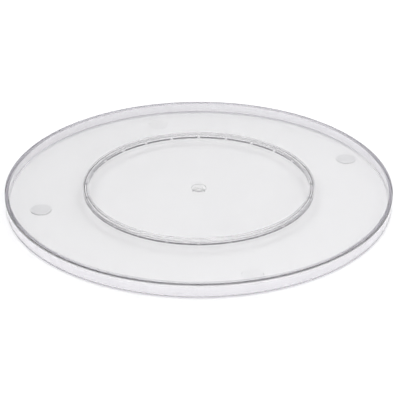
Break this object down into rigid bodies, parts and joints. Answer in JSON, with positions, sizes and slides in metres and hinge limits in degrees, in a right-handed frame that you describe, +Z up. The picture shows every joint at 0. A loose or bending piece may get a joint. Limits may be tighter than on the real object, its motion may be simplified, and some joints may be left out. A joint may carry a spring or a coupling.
{
  "type": "lazy susan turntable",
  "caption": "Round clear plastic lazy susan: a flat top with a hanging skirt turns on a ball ring over a clear base disc with stick-on feet.",
  "frame": {"origin": "on the table surface, under the centre of the turntable", "axes": "+Z up along the axis that the top turns about; +X to the right and +Y away in the reference view"},
  "size_m": [0.3, 0.3, 0.012],
  "materials": {
    "clear_top": "polished clear polystyrene",
    "clear_base": "polished clear polystyrene",
    "cage_plastic": "smoky clear polycarbonate",
    "clear_pin": "clear polycarbonate",
    "bush_nylon": "translucent natural nylon",
    "clear_ball": "polished clear acrylic",
    "foot_silicone": "frosted clear silicone"
  },
  "bodies": {
    "base": {"base_disc": "clear_base", "pivot_bush": "bush_nylon", "foot_1": "foot_silicone", "foot_2": "foot_silicone", "foot_3": "foot_silicone", "foot_4": "foot_silicone"},
    "turntable": {"turntable_top": "clear_top", "pivot_pin": "clear_pin"},
    "ball_ring": {"ball_cage": "cage_plastic", "ball_01": "clear_ball", "ball_02": "clear_ball", "ball_03": "clear_ball", "ball_04": "clear_ball", "ball_05": "clear_ball", "ball_06": "clear_ball", "ball_07": "clear_ball", "ball_08": "clear_ball", "ball_09": "clear_ball", "ball_10": "clear_ball", "ball_11": "clear_ball", "ball_12": "clear_ball", "ball_13": "clear_ball", "ball_14": "clear_ball", "ball_15": "clear_ball", "ball_16": "clear_ball", "ball_17": "clear_ball", "ball_18": "clear_ball", "ball_19": "clear_ball", "ball_20": "clear_ball", "ball_21": "clear_ball", "ball_22": "clear_ball", "ball_23": "clear_ball", "ball_24": "clear_ball"}
  },
  "joints": [
    {"name": "turntable_spin", "type": "hinge", "parent": "base", "child": "turntable", "pos_m": [0, 0, 0], "axis": [0, 0, 1], "continuous": true},
    {"name": "ball_ring_spin", "type": "hinge", "parent": "base", "child": "ball_ring", "pos_m": [0, 0, 0], "axis": [0, 0, 1], "continuous": true}
  ],
  "couplings": [
    {"joint": "ball_ring_spin", "follows": "turntable_spin", "ratio": 0.5}
  ]
}
